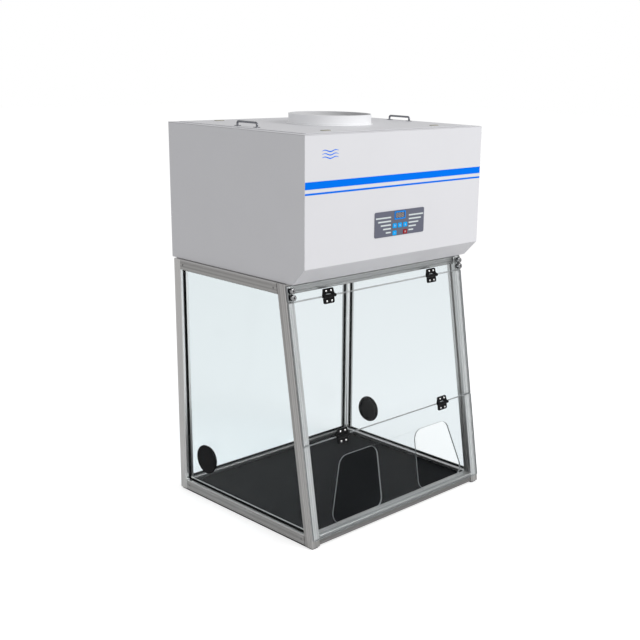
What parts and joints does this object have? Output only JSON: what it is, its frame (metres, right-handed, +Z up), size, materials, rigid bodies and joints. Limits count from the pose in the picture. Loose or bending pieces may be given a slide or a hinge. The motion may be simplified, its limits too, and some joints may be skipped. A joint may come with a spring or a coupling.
{
  "type": "fume hood",
  "caption": "Bench-top ducted fume hood: aluminium frame, clear panels, folding clear front with arm holes, cabinet with fan, controls and round duct collar.",
  "frame": {"origin": "on the bench, under the middle of the hood's bounding box", "axes": "+Z up, -Y out of the front, +X to the user's right"},
  "size_m": [0.716, 0.6244, 1.1403],
  "materials": {
    "aluminium": "satin anodised",
    "clear_sheet": "clear, polished",
    "rubber": "matt black",
    "work_surface": "satin dark slate",
    "cabinet_paint": "fine powder coat",
    "chrome": "polished",
    "black_plastic": "moulded, slight sheen",
    "overlay": "printed film",
    "display": "smoked window",
    "key_blue": "satin",
    "key_red": "satin",
    "circuit_board": "solder mask",
    "steel": "zinc plated",
    "diffuser": "frosted"
  },
  "bodies": {
    "hood": {"rear_post_left": "aluminium", "rear_post_right": "aluminium", "front_post_left": "aluminium", "front_post_right": "aluminium", "bottom_rail_left": "aluminium", "bottom_rail_right": "aluminium", "bottom_rail_rear": "aluminium", "bottom_rail_front": "aluminium", "top_rail_left": "aluminium", "top_rail_right": "aluminium", "top_rail_rear": "aluminium", "top_rail_front": "aluminium", "panel_left": "clear_sheet", "panel_right": "clear_sheet", "panel_rear": "clear_sheet", "upper_strip": "clear_sheet", "gasket_left": "rubber", "gasket_right": "rubber", "gasket_rear": "rubber", "foot_strip_left": "rubber", "foot_strip_right": "rubber", "cabinet_seal": "rubber", "work_surface": "work_surface", "cabinet_shell": "cabinet_paint", "front_cover": "cabinet_paint", "roof_panel": "cabinet_paint", "service_lid": "cabinet_paint", "cabinet_floor": "cabinet_paint", "duct_collar": "cabinet_paint", "intake_grille": "cabinet_paint", "lamp_housing": "cabinet_paint", "lid_handle_left": "chrome", "lid_handle_right": "chrome", "strip_leaf_left": "black_plastic", "strip_leaf_right": "black_plastic", "control_overlay": "overlay", "display_window": "display", "control_board": "circuit_board", "inlet_ring": "steel", "motor_bridge": "steel", "power_supply": "steel", "fan_stator": "aluminium", "lamp_diffuser": "diffuser", "power_inlet": "black_plastic"},
    "window": {"window": "clear_sheet", "window_leaf_left": "black_plastic", "window_leaf_right": "black_plastic", "window_foot_leaf_left": "black_plastic", "window_foot_leaf_right": "black_plastic"},
    "flap": {"flap": "clear_sheet", "flap_leaf_left": "black_plastic", "flap_leaf_right": "black_plastic"},
    "fan": {"fan_wheel": "aluminium"},
    "plug_left": {"port_plug_left": "rubber"},
    "plug_right": {"port_plug_right": "rubber"},
    "key_power_cap": {"key_power": "key_blue"},
    "key_fan_up_cap": {"key_fan_up": "key_blue"},
    "key_lamp_cap": {"key_lamp": "key_blue"},
    "key_fan_down_cap": {"key_fan_down": "key_blue"},
    "key_stop_cap": {"key_stop": "key_red"}
  },
  "joints": [
    {"name": "window_hinge", "type": "hinge", "parent": "hood", "child": "window", "pos_m": [0, -0.21387, 0.67348], "axis": [-1, 0, 0], "range_deg": [0, 110]},
    {"name": "flap_hinge", "type": "hinge", "parent": "window", "child": "flap", "pos_m": [0, -0.27574, 0.2872], "axis": [-1, 0, 0], "range_deg": [0, 165]},
    {"name": "fan_spin", "type": "hinge", "parent": "hood", "child": "fan", "pos_m": [0, 0.01219, 0.8], "axis": [0, 0, 1], "continuous": true},
    {"name": "plug_left_pull", "type": "slide", "parent": "hood", "child": "plug_left", "axis": [-1, 0, 0], "range_m": [0, 0.05]},
    {"name": "plug_right_pull", "type": "slide", "parent": "hood", "child": "plug_right", "axis": [1, 0, 0], "range_m": [0, 0.05]},
    {"name": "key_power_press", "type": "slide", "parent": "hood", "child": "key_power_cap", "axis": [0, 1, 0], "range_m": [0, 0.0008], "stiffness_N_per_m": 500},
    {"name": "key_fan_up_press", "type": "slide", "parent": "hood", "child": "key_fan_up_cap", "axis": [0, 1, 0], "range_m": [0, 0.0008], "stiffness_N_per_m": 500},
    {"name": "key_lamp_press", "type": "slide", "parent": "hood", "child": "key_lamp_cap", "axis": [0, 1, 0], "range_m": [0, 0.0008], "stiffness_N_per_m": 500},
    {"name": "key_fan_down_press", "type": "slide", "parent": "hood", "child": "key_fan_down_cap", "axis": [0, 1, 0], "range_m": [0, 0.0008], "stiffness_N_per_m": 500},
    {"name": "key_stop_press", "type": "slide", "parent": "hood", "child": "key_stop_cap", "axis": [0, 1, 0], "range_m": [0, 0.0008], "stiffness_N_per_m": 500}
  ]
}
